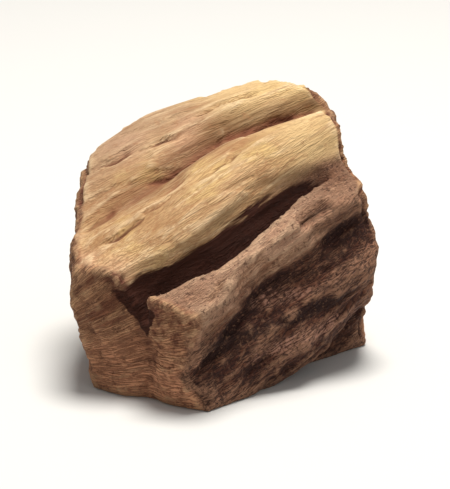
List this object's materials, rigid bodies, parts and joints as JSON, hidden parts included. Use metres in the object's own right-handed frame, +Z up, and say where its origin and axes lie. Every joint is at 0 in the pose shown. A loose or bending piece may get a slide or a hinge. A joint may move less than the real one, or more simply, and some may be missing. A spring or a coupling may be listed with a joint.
{
  "type": "dried burdock root chip",
  "caption": "Chip of cut, dried burdock root with wrinkled bark, ridged wood and a deep drying crack, lying on a flat cut face.",
  "frame": {"origin": "on the table under the middle of the chip's box", "axes": "+Z up from the table, +X the way that the grain rises, -Y the side that the bark faces most"},
  "size_m": [0.0102, 0.0104, 0.0089],
  "materials": {
    "dried_root": "dry fibrous tan wood inside wrinkled purple-brown bark, matt"
  },
  "bodies": {
    "root": {"burdock_root_chip": "dried_root"}
  },
  "joints": []
}
